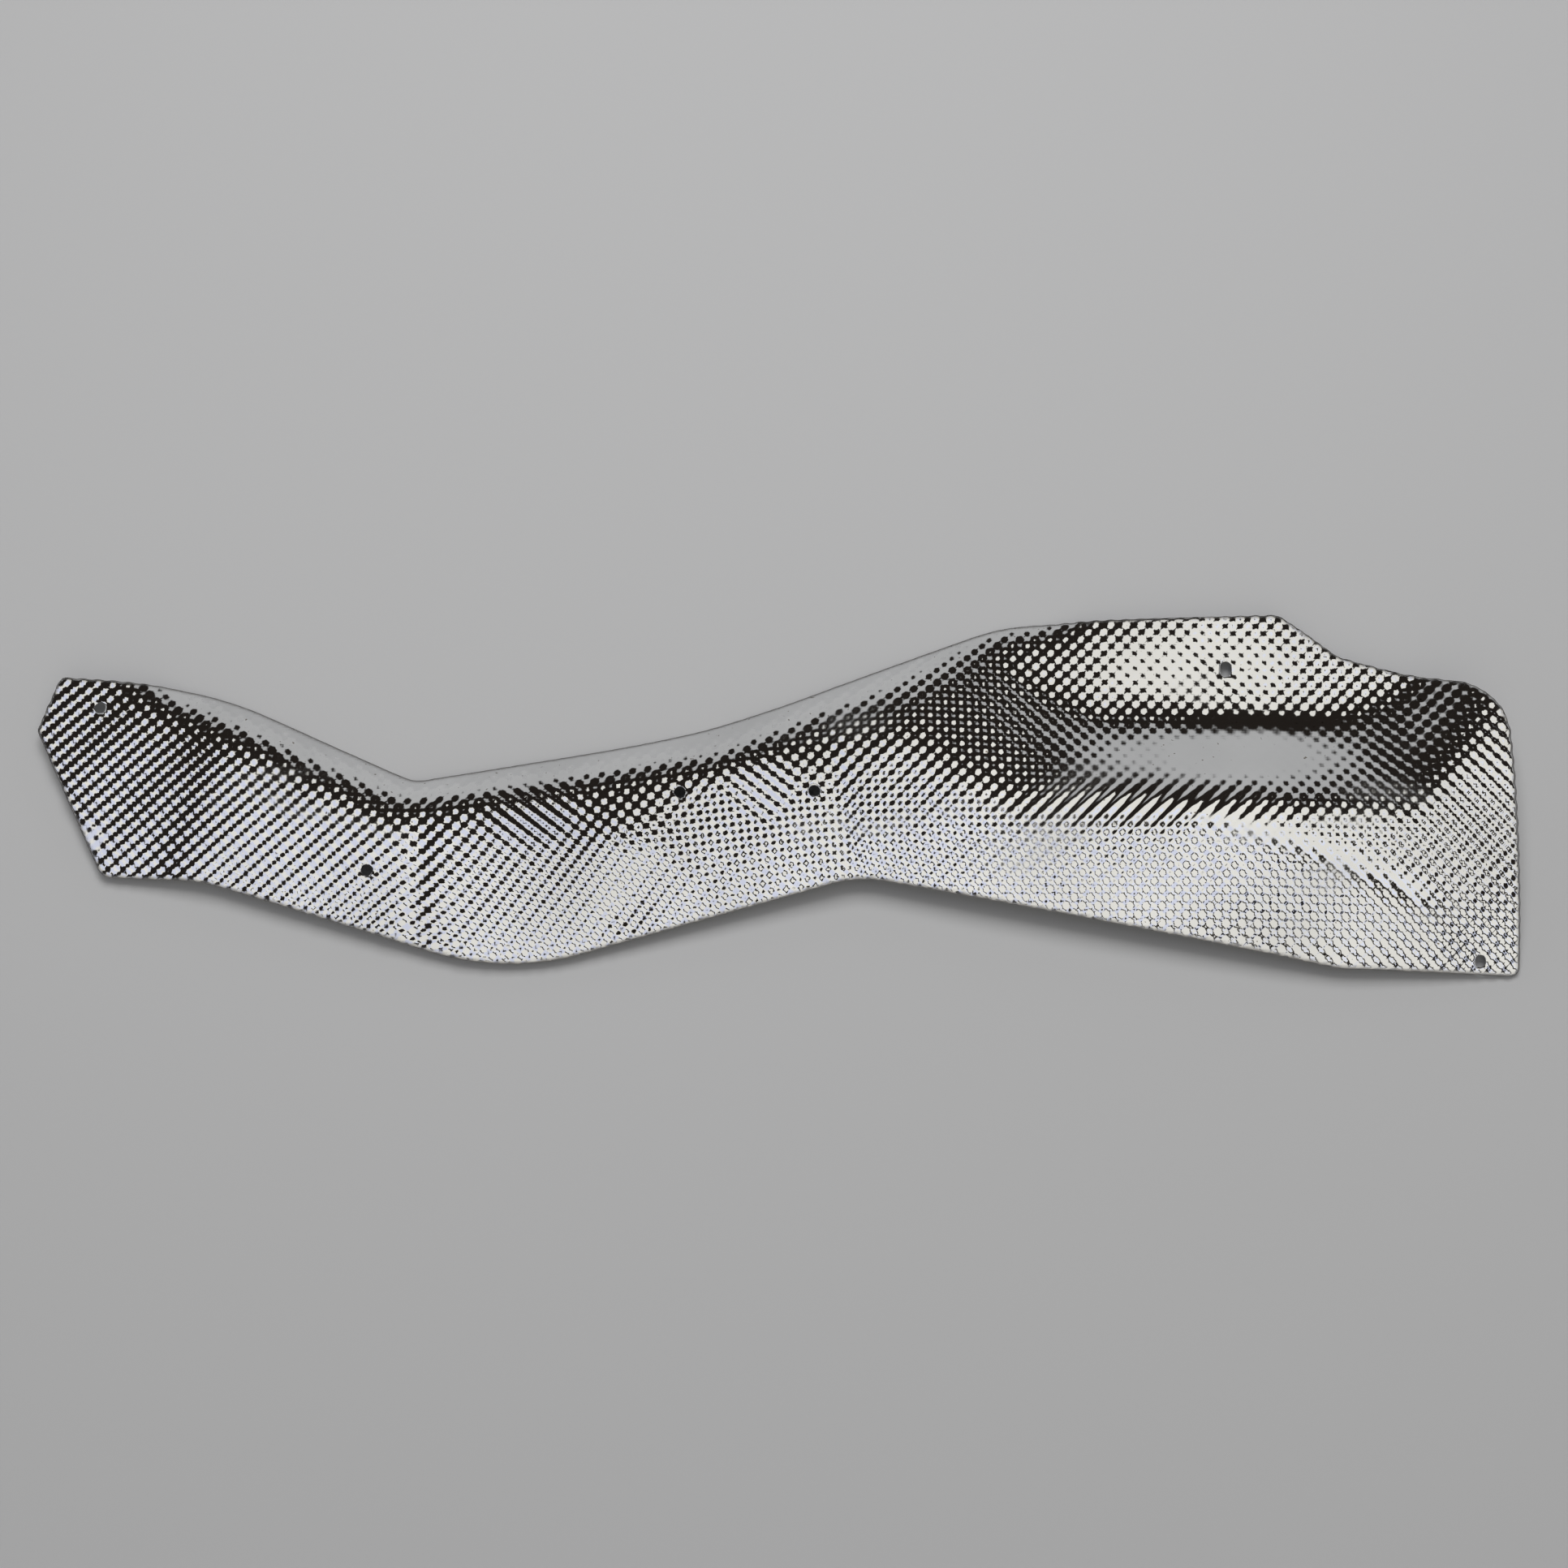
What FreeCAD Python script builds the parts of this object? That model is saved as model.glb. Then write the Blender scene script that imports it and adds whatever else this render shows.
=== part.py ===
"""Embossed aluminium heat shield: one long pressed sheet with a rolled back flange, a crowned face,
a recessed fixing pad and six fixing holes. Millimetres, lying as it comes to rest, +Z up."""
import FreeCAD, Part
import math
import os

import Sketcher

doc = FreeCAD.newDocument("heat_shield")

# Driving dimensions, kept in a sheet. Distances along the shield run from its left end.
sizes = doc.addObject("Spreadsheet::Sheet", "sizes")

# Corners of the flat outline: name, distance along, distance across, corner radius.
CORNERS = (
    ("tip_top", 3.5, 63.5, 2.0),
    ("tip_nose", -7.0, 32.7, 6.0),
    ("tip_foot", 34.5, -49.6, 9.0),
    ("arm_front", 90.5, -53.5, 120.0),
    ("bulge_front", 255.0, -104.0, 145.0),
    ("neck_front", 444.5, -51.5, 60.0),
    ("lobe_front", 700.5, -101.5, 60.0),
    ("end_front", 798.0, -104.0, 5.0),
    ("end_back", 798.5, 52.0, 36.0),
    ("pad_notch", 713.5, 76.5, 20.0),
    ("pad_corner", 681.0, 101.5, 5.0),
    ("shoulder_back", 527.0, 98.0, 120.0),
    ("middle_back", 361.0, 33.0, 600.0),
    ("pleat_back", 201.5, 5.3, 20.0),
    ("arm_back", 87.0, 57.5, 180.0),
)

# Stations of the crowned face: name, distance along, crown line across, crown height.
STATIONS = (
    ("tip_end", -5.0, 20.0, 6.5),
    ("tip_fold", 81.0, 20.0, 14.5),
    ("pleat", 209.0, -14.0, 17.0),
    ("neck", 432.0, 5.0, 18.0),
    ("lobe_rise", 540.0, -15.0, 27.0),
    ("lobe_top", 650.0, -17.0, 32.0),
    ("lobe_far", 731.0, -20.0, 30.0),
    ("lobe_end", 801.0, -20.0, 22.0),
)

# Crest of the back wall: name, distance along, distance across, slope of the wall behind it.
CRESTS = (
    ("shoulder_top", 432.0, 60.0, 10.0),
    ("shoulder_foot", 529.0, -13.0, 12.5),
    ("wall_start", 582.0, -12.0, 28.0),
    ("wall_finish", 690.0, -16.0, 29.0),
    ("wall_turn", 742.0, -19.0, 20.0),
    ("wall_end", 801.0, 42.0, 16.0),
)

# Round fixing holes: name, distance along, distance across.
HOLES = (
    ("tip_hole", 27.0, 45.3),
    ("arm_hole", 179.5, -48.2),
    ("middle_hole", 347.5, -5.5),
    ("neck_hole", 420.5, -5.0),
    ("corner_hole", 776.5, -96.5),
)

OTHER_SIZES = (
    ("sheet_gauge", 1.5),
    ("arm_lean", 3.0),
    ("lobe_lean", 8.0),
    ("tip_crown_radius", 900.0),
    ("arm_crown_radius", 450.0),
    ("lobe_crown_radius", 300.0),
    ("crown_blend", 20.0),
    ("crest_blend", 9.0),
    ("crest_roll", 5.0),
    ("flange_lean", 43.0),
    ("flange_edge_height", 1.2),
    ("flange_start", 70.0),
    ("flange_finish", 556.0),
    ("flange_runout", 30.0),
    ("flange_blend", 10.0),
    ("flange_roll", 5.0),
    ("pad_edge_height", 7.0),
    ("pad_lean", -4.0),
    ("pad_front_across", 12.0),
    ("pad_drop_slope", 27.0),
    ("pad_blend", 8.0),
    ("pad_fillet", 3.0),
    ("crease_depth", 0.9),
    ("crease_half_width", 7.0),
    ("pleat_skew", 1.5),
    ("neck_skew", -11.0),
    ("hole_radius", 3.25),
    ("slot_inset_along", 31.0),
    ("slot_inset_across", 31.5),
    ("slot_radius", 3.25),
    ("slot_travel", 2.5),
    ("trim_margin", 10.0),
    ("grid_along", 16.0),
    ("grid_across", 8.0),
    ("grid_crease", 7.0),
)


def fill_sheet():
    """Writes every driving dimension to the sheet, one row each, under its own alias."""
    rows = []
    for name, along, across, radius in CORNERS:
        rows += [(name + "_x", along), (name + "_y", across), (name + "_corner", radius)]
    for name, along, across, height in STATIONS:
        rows += [(name + "_along", along), (name + "_crown_y", across), (name + "_crown_z", height)]
    for name, along, across, slope in CRESTS:
        rows += [(name + "_crest_x", along), (name + "_crest_y", across), (name + "_lean", slope)]
    for name, along, across in HOLES:
        rows += [(name + "_x", along), (name + "_y", across)]
    rows += OTHER_SIZES
    for row, (alias, value) in enumerate(rows, start=1):
        sizes.set(f"A{row}", alias)
        sizes.set(f"B{row}", str(value))
        sizes.setAlias(f"B{row}", alias)


fill_sheet()
doc.recompute()


def size(alias):
    """One driving dimension, read from the sheet."""
    return float(getattr(sizes, alias))


def slope(alias):
    """The rise per run of an angle in the sheet, which is in degrees."""
    return math.tan(math.radians(size(alias)))


def ramp(distance, blend):
    """Nought before the corner and the distance itself after it, rounded over the blend length."""
    return 0.5 * (distance + math.hypot(distance, blend))


def soft_line(along, points, blend):
    """A line through the points, with each inner corner rounded over the blend length."""
    (start, level), (second, next_level) = points[0], points[1]
    pitch = (next_level - level) / (second - start)
    value = level + pitch * (along - start)
    for (here, now), (ahead, then) in zip(points[1:-1], points[2:]):
        next_pitch = (then - now) / (ahead - here)
        value += (next_pitch - pitch) * ramp(along - here, blend)
        pitch = next_pitch
    return value


def lower_of(first, second, rounding):
    """The lower of two heights, with a rounded roll where they cross."""
    return 0.5 * (first + second - math.hypot(first - second, 2 * rounding))


def upper_of(first, second, rounding):
    """The higher of two heights, with a rounded fillet where they cross."""
    return 0.5 * (first + second + math.hypot(first - second, 2 * rounding))


def points_of(rows, first, second):
    """Pairs of sizes from a table's rows, named by their two endings."""
    return [(size(row[0] + first), size(row[0] + second)) for row in rows]


crown_across = points_of(STATIONS, "_along", "_crown_y")
crown_height = points_of(STATIONS, "_along", "_crown_z")
crest_across = points_of(CRESTS, "_crest_x", "_crest_y")
crest_slope = [(size(row[0] + "_crest_x"), slope(row[0] + "_lean")) for row in CRESTS]
crest_slope.insert(0, (size("tip_end_along"), slope("shoulder_top_lean")))
face_slope = [
    (size("tip_end_along"), slope("arm_lean")),
    (size("neck_along"), slope("arm_lean")),
    (size("lobe_rise_along"), slope("lobe_lean")),
    (size("lobe_end_along"), slope("lobe_lean")),
]
face_bend = [
    (size("tip_end_along"), 1 / size("tip_crown_radius")),
    (size("tip_fold_along"), 1 / size("tip_crown_radius")),
    (size("pleat_along"), 1 / size("arm_crown_radius")),
    (size("neck_along"), 1 / size("arm_crown_radius")),
    (size("lobe_rise_along"), 1 / size("lobe_crown_radius")),
    (size("lobe_end_along"), 1 / size("lobe_crown_radius")),
]
back_edge = [
    (size(name + "_x"), size(name + "_y"))
    for name in ("tip_top", "arm_back", "pleat_back", "middle_back", "shoulder_back", "pad_corner")
]
front_edge = [
    (size(name + "_x"), size(name + "_y"))
    for name in ("tip_foot", "arm_front", "bulge_front", "neck_front", "lobe_front", "end_front")
]


def crowned_face(along, across):
    """The long face, and the back wall that falls away behind its crest."""
    blend = size("crown_blend")
    crown = soft_line(along, crown_across, blend)
    top = soft_line(along, crown_height, blend)
    lean = soft_line(along, face_slope, blend)
    bend = soft_line(along, face_bend, blend)
    away = across - crown
    face = top + lean * away - 0.5 * bend * away * away
    crest = soft_line(along, crest_across, size("crest_blend"))
    fall = soft_line(along, crest_slope, size("crest_blend"))
    wall = top + lean * (crest - crown) - fall * (across - crest)
    return lower_of(face, wall, size("crest_roll"))


def back_flange(along, across):
    """The plane of the flange: it rises from the back edge, and runs out above the sheet at both ends."""
    edge = soft_line(along, back_edge, size("flange_blend"))
    nearby = soft_line(along + 1.0, back_edge, size("flange_blend"))
    inward = (edge - across) / math.hypot(1.0, nearby - edge)
    runout = ramp(size("flange_start") - along, size("flange_blend"))
    runout += ramp(along - size("flange_finish"), size("flange_blend"))
    return size("flange_edge_height") + slope("flange_lean") * inward + slope("flange_runout") * runout


def fixing_pad(along, across):
    """The pad: it leans from its back edge, with a plane that drops away beyond its front."""
    level = size("pad_edge_height") + slope("pad_lean") * (size("pad_corner_y") - across)
    return level - slope("pad_drop_slope") * ramp(size("pad_front_across") - across, size("pad_blend"))


def creases(along, across):
    """The pleat and the neck fold, as shallow grooves across the face."""
    groove = 0.0
    for name in ("pleat", "neck"):
        middle = size(name + "_along") + slope(name + "_skew") * across
        groove += math.exp(-(((along - middle) / size("crease_half_width")) ** 2))
    return size("crease_depth") * groove


def height(along, across):
    """Height of the middle of the sheet over the plan."""
    face = crowned_face(along, across) - creases(along, across)
    sheet = upper_of(face, fixing_pad(along, across), size("pad_fillet"))
    return lower_of(sheet, back_flange(along, across), size("flange_roll"))


def normal(along, across):
    """Direction square to the sheet, from the heights close by."""
    step = 0.05
    along_rise = (height(along + step, across) - height(along - step, across)) / (2 * step)
    across_rise = (height(along, across + step) - height(along, across - step)) / (2 * step)
    return FreeCAD.Vector(-along_rise, -across_rise, 1.0).normalize()


def stations_along(start, finish):
    """Places along the shield for the pressed surface, closer together at the two creases."""
    places = [start]
    while places[-1] < finish:
        nearest = min(abs(places[-1] - size(name)) for name in ("pleat_along", "neck_along"))
        fine = nearest < 4 * size("crease_half_width")
        places.append(places[-1] + size("grid_crease" if fine else "grid_along"))
    return places


def pressed_sheet():
    """The pressed sheet, a margin larger than the outline: two surfaces a gauge apart, each in lengths
    that meet at the pleat, the neck and the foot of the lobe, closed by walls."""
    margin = size("trim_margin")
    outline_along = [size(name + "_x") for name, *_ in CORNERS]
    columns = stations_along(min(outline_along) - margin, max(outline_along) + margin)
    widest = max(size(name + "_y") for name, *_ in CORNERS) - min(size(name + "_y") for name, *_ in CORNERS)
    rows = math.ceil(widest / size("grid_across"))
    half = size("sheet_gauge") / 2
    skins = []
    for side in (half, -half):
        grid = []
        for along in columns:
            front = soft_line(along, front_edge, size("flange_blend")) - margin
            back = soft_line(along, back_edge, size("flange_blend")) + margin
            line = []
            for row in range(rows + 1):
                across = front + (back - front) * row / rows
                point = FreeCAD.Vector(along, across, height(along, across))
                line.append(point + normal(along, across) * side)
            grid.append(line)
        skin = Part.BSplineSurface()
        skin.interpolate(grid)
        skins.append(skin)
    upper, lower = skins
    _, _, front_v, back_v = upper.bounds()
    _, _, front_w, back_w = lower.bounds()
    joints = [
        FreeCAD.Vector(size(name + "_along"), size(name + "_crown_y"), size(name + "_crown_z"))
        for name in ("pleat", "neck", "lobe_rise")
    ]
    upper_ends = [upper.bounds()[0], *(upper.parameter(joint)[0] for joint in joints), upper.bounds()[1]]
    lower_ends = [lower.bounds()[0], *(lower.parameter(joint)[0] for joint in joints), lower.bounds()[1]]
    faces = [
        Part.makeRuledSurface(upper.uIso(upper_ends[0]).toShape(), lower.uIso(lower_ends[0]).toShape()),
        Part.makeRuledSurface(upper.uIso(upper_ends[-1]).toShape(), lower.uIso(lower_ends[-1]).toShape()),
    ]
    for start_u, end_u, start_w, end_w in zip(upper_ends, upper_ends[1:], lower_ends, lower_ends[1:]):
        faces.append(upper.toShape(start_u, end_u, front_v, back_v))
        faces.append(lower.toShape(start_w, end_w, front_w, back_w))
        for edge_v, edge_w in ((front_v, front_w), (back_v, back_w)):
            one = upper.vIso(edge_v).toShape(start_u, end_u)
            two = lower.vIso(edge_w).toShape(start_w, end_w)
            faces.append(Part.makeRuledSurface(one, two))
    shell = Part.Shell(faces)
    shell.sewShape()
    solid = Part.Solid(shell)
    if solid.Volume < 0:
        solid.reverse()
    return solid


def rounded_corner(before, corner, after, radius):
    """Where a corner's arc starts and ends, the anticlockwise arc, and whether it runs from start to end."""
    to_before = (before - corner).normalize()
    to_after = (after - corner).normalize()
    half_angle = to_before.getAngle(to_after) / 2
    reach = radius / math.tan(half_angle)
    start = corner + to_before * reach
    finish = corner + to_after * reach
    centre = corner + (to_before + to_after).normalize() * (radius / math.sin(half_angle))
    leave = math.atan2(start.y - centre.y, start.x - centre.x)
    arrive = math.atan2(finish.y - centre.y, finish.x - centre.x)
    forward = (arrive - leave) % (2 * math.pi) < math.pi
    first, last = (leave, arrive) if forward else (arrive, leave)
    circle = Part.Circle(centre, FreeCAD.Vector(0, 0, 1), radius)
    return start, Part.ArcOfCircle(circle, first, last), finish, forward


def outline_sketch():
    """The flat outline: straight runs between the corners, joined by tangent arcs bound to the sheet."""
    sketch = doc.addObject("Sketcher::SketchObject", "outline")
    corners = [FreeCAD.Vector(size(name + "_x"), size(name + "_y"), 0) for name, *_ in CORNERS]
    count = len(corners)
    arcs = []
    for index, (name, *_) in enumerate(CORNERS):
        around = corners[index - 1], corners[index], corners[(index + 1) % count]
        arcs.append(rounded_corner(*around, size(name + "_corner")))
    for index, (name, *_) in enumerate(CORNERS):
        point = sketch.addGeometry(Part.Point(corners[index]), True)
        along = sketch.addConstraint(
            Sketcher.Constraint("DistanceX", -1, 1, point, 1, corners[index].x)
        )
        across = sketch.addConstraint(
            Sketcher.Constraint("DistanceY", -1, 1, point, 1, corners[index].y)
        )
        sketch.setExpression(f"Constraints[{along}]", f"sizes.{name}_x")
        sketch.setExpression(f"Constraints[{across}]", f"sizes.{name}_y")
    runs = []
    for index in range(count):
        run = Part.LineSegment(arcs[index][2], arcs[(index + 1) % count][0])
        runs.append(sketch.addGeometry(run))
        sketch.addConstraint(Sketcher.Constraint("PointOnObject", index, 1, runs[-1]))
        sketch.addConstraint(Sketcher.Constraint("PointOnObject", (index + 1) % count, 1, runs[-1]))
    for index, (name, *_) in enumerate(CORNERS):
        _, arc, _, forward = arcs[index]
        bend = sketch.addGeometry(arc)
        first, last = (1, 2) if forward else (2, 1)
        sketch.addConstraint(Sketcher.Constraint("Tangent", runs[index - 1], 2, bend, first))
        sketch.addConstraint(Sketcher.Constraint("Tangent", bend, last, runs[index], 1))
        radius = sketch.addConstraint(Sketcher.Constraint("Radius", bend, arc.Radius))
        sketch.setExpression(f"Constraints[{radius}]", f"sizes.{name}_corner")
    return sketch


def hole_drill(name, along, across):
    """A cylinder square to the sheet at one fixing hole, long enough to pass right through."""
    reach = 4 * size("sheet_gauge")
    direction = normal(along, across)
    drill = doc.addObject("Part::Cylinder", name)
    drill.setExpression("Radius", "sizes.hole_radius")
    drill.setExpression("Height", "8 * sizes.sheet_gauge")
    centre = FreeCAD.Vector(along, across, height(along, across))
    turn = FreeCAD.Rotation(FreeCAD.Vector(0, 0, 1), direction)
    drill.Placement = FreeCAD.Placement(centre - direction * reach, turn)
    return drill


def slot_drill(name, along, across):
    """A long-sided cutter square to the sheet at the pad's slot, with two round ends."""
    radius = size("slot_radius")
    end = size("slot_travel") / 2
    right_front = FreeCAD.Vector(radius, -end, 0)
    right_back = FreeCAD.Vector(radius, end, 0)
    left_back = FreeCAD.Vector(-radius, end, 0)
    left_front = FreeCAD.Vector(-radius, -end, 0)
    edges = [
        Part.LineSegment(right_front, right_back).toShape(),
        Part.Arc(right_back, FreeCAD.Vector(0, end + radius, 0), left_back).toShape(),
        Part.LineSegment(left_back, left_front).toShape(),
        Part.Arc(left_front, FreeCAD.Vector(0, -end - radius, 0), right_front).toShape(),
    ]
    reach = 4 * size("sheet_gauge")
    direction = normal(along, across)
    centre = FreeCAD.Vector(along, across, height(along, across))
    drill = doc.addObject("Part::Feature", name)
    drill.Shape = Part.Face(Part.Wire(edges)).extrude(FreeCAD.Vector(0, 0, 2 * reach))
    drill.Placement = FreeCAD.Placement(
        centre - direction * reach, FreeCAD.Rotation(FreeCAD.Vector(0, 0, 1), direction)
    )
    return drill


# The pressed form, and the outline that trims it
pressing = doc.addObject("Part::Feature", "pressing")
pressing.Shape = pressed_sheet()
outline = outline_sketch()
doc.recompute()
blank = doc.addObject("Part::Extrusion", "blank")
blank.Base = outline
blank.DirMode = "Custom"
blank.Dir = FreeCAD.Vector(0, 0, 1)
blank.Solid = True
blank.LengthFwd = 200.0
blank.LengthRev = 200.0
trimmed = doc.addObject("Part::Common", "trimmed")
trimmed.Base = pressing
trimmed.Tool = blank
trimmed.Refine = False

# Five round fixing holes, and the slot in the pad
drills = [hole_drill(name, size(name + "_x"), size(name + "_y")) for name, *_ in HOLES]
slot_along = size("pad_corner_x") - size("slot_inset_along")
slot_across = size("pad_corner_y") - size("slot_inset_across")
drills.append(slot_drill("pad_slot", slot_along, slot_across))
drill_set = doc.addObject("Part::MultiFuse", "drill_set")
drill_set.Shapes = drills
shield = doc.addObject("Part::Cut", "heat_shield")
shield.Base = trimmed
shield.Tool = drill_set
shield.Refine = False
shield.Label = "heat_shield"
doc.recompute()

# The finished shield stands on the middle of its own footprint
box = shield.Shape.optimalBoundingBox(False)
lowest = min(point.z for point in shield.Shape.tessellate(0.02)[0])
shield.Placement = FreeCAD.Placement(FreeCAD.Vector(-box.Center.x, -box.Center.y, -lowest), FreeCAD.Rotation())
doc.recompute()

for item in doc.Objects:
    if "Invalid" in item.State or "Error" in item.State:
        raise RuntimeError(f"{item.Name} did not build: {item.State}")
if shield.Shape.isNull() or not shield.Shape.isValid() or len(shield.Shape.Solids) != 1:
    raise RuntimeError("the shield is not one valid solid")

os.makedirs("parts", exist_ok=True)
shield.Shape.exportStep("parts/heat_shield.step")
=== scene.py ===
"""A pressed heat shield of dimpled aluminium sheet, dressed over its CAD frame, and a stage to look at it on."""

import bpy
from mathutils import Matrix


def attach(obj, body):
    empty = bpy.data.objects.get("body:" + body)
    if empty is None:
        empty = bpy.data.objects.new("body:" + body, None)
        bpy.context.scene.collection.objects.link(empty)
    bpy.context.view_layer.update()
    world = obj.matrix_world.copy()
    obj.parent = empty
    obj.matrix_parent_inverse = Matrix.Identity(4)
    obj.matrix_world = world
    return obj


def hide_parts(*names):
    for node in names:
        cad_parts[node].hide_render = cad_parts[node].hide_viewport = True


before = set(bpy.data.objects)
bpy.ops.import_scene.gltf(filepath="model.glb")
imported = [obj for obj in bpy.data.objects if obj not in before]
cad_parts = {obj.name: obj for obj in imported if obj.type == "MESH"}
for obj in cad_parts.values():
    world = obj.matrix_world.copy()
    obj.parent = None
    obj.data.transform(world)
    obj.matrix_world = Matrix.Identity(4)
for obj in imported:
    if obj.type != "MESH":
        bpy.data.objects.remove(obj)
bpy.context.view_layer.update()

import math

import bpy
import mathutils
import numpy as np
from bpy.props import FloatProperty, FloatVectorProperty, PointerProperty

bl_info = {
    "name": "Dimpled heat shield",
    "version": (1, 0, 0),
    "blender": (4, 5, 0),
    "location": "View3D > Sidebar > Heat Shield",
    "description": "Builds a pressed heat shield of dimpled aluminium sheet and its stage",
    "category": "Object",
}

# The form is in millimetres: along from the narrow tip, across towards the back flange, and up.
# Millimetres in a metre
MM = 1000.0

# Corners of the flat outline, anticlockwise in plan from the tip: along, across, corner radius
OUTLINE = (
    (3.5, 63.5, 2.0),
    (-7.0, 32.7, 6.0),
    (34.5, -49.6, 9.0),
    (90.5, -53.5, 120.0),
    (255.0, -104.0, 145.0),
    (444.5, -51.5, 60.0),
    (700.5, -101.5, 60.0),
    (798.0, -104.0, 5.0),
    (798.5, 52.0, 36.0),
    (713.5, 76.5, 20.0),
    (681.0, 101.5, 5.0),
    (527.0, 98.0, 120.0),
    (361.0, 33.0, 600.0),
    (201.5, 5.3, 20.0),
    (87.0, 57.5, 180.0),
)
# Points on the arc of each corner
ARC_POINTS = 17
# The back edge that the flange follows, from the tip: the first corner, then the last five in turn
BACK_EDGE = [(x, y) for x, y, radius in (OUTLINE[0], *OUTLINE[:9:-1])]
# Fixing holes: along, across, radius, and half the travel of a slot across the shield
HOLES = (
    (27.0, 45.3, 3.25, 0.0),
    (179.5, -48.2, 3.25, 0.0),
    (347.5, -5.5, 3.25, 0.0),
    (420.5, -5.0, 3.25, 0.0),
    (776.5, -96.5, 3.25, 0.0),
    (650.0, 70.0, 3.25, 1.25),
)
# Gauge of the CAD solid
CAD_GAUGE = 1.5

# The crown of the face: along, across and height
CROWN = (
    (-5.0, 20.0, 6.5),
    (81.0, 20.0, 14.5),
    (209.0, -14.0, 17.0),
    (432.0, 5.0, 18.0),
    (540.0, -15.0, 27.0),
    (650.0, -17.0, 32.0),
    (731.0, -20.0, 30.0),
    (801.0, -20.0, 22.0),
)
CROWN_BLEND = 20.0
# The face's lean in degrees and its crown radius: along and value
FACE_LEAN = ((-5.0, 3.0), (432.0, 3.0), (540.0, 8.0), (801.0, 8.0))
FACE_RADIUS = (
    (-5.0, 900.0),
    (81.0, 900.0),
    (209.0, 450.0),
    (432.0, 450.0),
    (540.0, 300.0),
    (801.0, 300.0),
)
# The crest where the back wall starts: along, across and the wall's fall in degrees
CREST = (
    (432.0, 50.0, 10.0),
    (529.0, -16.0, 13.0),
    (582.0, -12.0, 28.0),
    (690.0, -16.0, 29.0),
    (742.0, -19.0, 20.0),
    (801.0, 42.0, 16.0),
)
CREST_BLEND = 9.0
CREST_ROLL = 3.0
# The back flange: lean in degrees, height of its edge, where it runs from and to, and the lean of its ends
FLANGE_LEAN = 43.0
FLANGE_EDGE = 1.2
FLANGE_REACH = (70.0, 556.0)
FLANGE_RUNOUT = 30.0
FLANGE_BLEND = 10.0
FLANGE_ROLL = 6.0
# The fixing pad: height and place of its back edge, lean in degrees, and where and how steeply its front drops
PAD_EDGE = 7.0
PAD_BACK = 101.5
PAD_LEAN = -4.0
PAD_FRONT = 12.0
PAD_DROP = 27.0
PAD_BLEND = 8.0
PAD_FILLET = 3.0
# The two creases across the face: along, and skew in degrees
CREASES = ((209.0, 1.5), (432.0, -11.0))
CREASE_DEPTH = 0.9
CREASE_WIDTH = 7.0

# Turn of the dimple rows from the diagonal, in degrees: along and turn
ROW_TURN = ((0.0, 3.0), (190.0, 3.0), (230.0, -7.0), (410.0, -7.0), (470.0, 1.0), (801.0, 1.0))
ROW_BLEND = 15.0
# From and to where the turn is summed along the sheet, millimetre by millimetre
ROW_REACH = (-20.0, 831.0)
# How blunt the peaks and pits of the dimples are
BLUNTNESS = 0.85
# Where drawing pressed the dimples flatter: along, across, reach along, reach across, and the share lost,
# below nought where they stand deeper
DRAWN = (
    (20.0, -30.0, 18.0, 12.0, 0.7),
    (646.0, 16.0, 78.0, 20.0, 0.95),
    (672.0, 38.0, 45.0, 14.0, 0.7),
    (628.0, 72.0, 66.0, 27.0, 0.5),
    (285.0, -55.0, 85.0, 34.0, -0.35),
    (545.0, -60.0, 90.0, 30.0, -0.3),
)
# Share of dimple lost on the flange
FLANGE_DRAWN = 0.75
# Where stretching joined the dimples into streaks: along, across, reach along, reach across, and the
# share, above nought for streaks that rise to the right and below it for streaks that fall
STREAKS = (
    (40.0, 10.0, 90.0, 60.0, -0.3),
    (155.0, -10.0, 50.0, 60.0, -0.25),
    (270.0, -48.0, 75.0, 42.0, -0.3),
    (510.0, -50.0, 70.0, 40.0, -0.25),
    (628.0, 72.0, 70.0, 28.0, -0.25),
    (765.0, 10.0, 46.0, 62.0, -0.35),
    (600.0, -14.0, 75.0, 15.0, 0.85),
    (268.0, -12.0, 26.0, 24.0, -0.6),
    (392.0, -2.0, 20.0, 22.0, -0.5),
)

# Soft dents and swells left by handling: along, across, reach along, reach across, height
DENTS = (
    (314.0, -34.0, 31.0, 20.0, 2.6),
    (374.0, 8.0, 24.0, 16.0, 1.3),
    (318.0, -72.0, 14.0, 11.0, -0.9),
    (465.0, -30.0, 26.0, 40.0, -0.8),
)
# The soft ridge down the lobe: its start and finish in plan, half its width, its height, and the share of
# dimple lost on it
RIDGE_LINE = ((628.0, -20.0), (738.0, -64.0))
RIDGE_WIDTH = 9.0
RIDGE_HEIGHT = 0.7
RIDGE_DRAWN = 0.55
# The soft fold behind the tip: along at its middle, skew in degrees, half its rise, half its width, and its
# reach in half widths
TIP_FOLD = (84.0, 14.0, 0.9, 10.0, 9.0)
# The fold from the tip to the pleat: its start and finish in plan, lean behind it in degrees, and softness
ARM_FOLD = ((84.0, 42.0), (203.0, -32.0), 5.0, 4.0)
# Slight waviness of the sheet: half its height, and wave lengths along and across
WAVES = ((0.16, 71.0, 57.0), (0.12, 43.0, 91.0), (0.07, 29.0, 37.0))
WAVE_START = 1.3

# Half the span over which the surface's rise is measured
NEAR = 0.05
# A side of the outline shorter than the root of this has no direction
NO_LENGTH = 1e-12
# Corners and side crossings round a grid cell
ROUND_CELL = 8
# How far the painted shade along the cut edge reaches in
EDGE_REACH = 1.1

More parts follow.
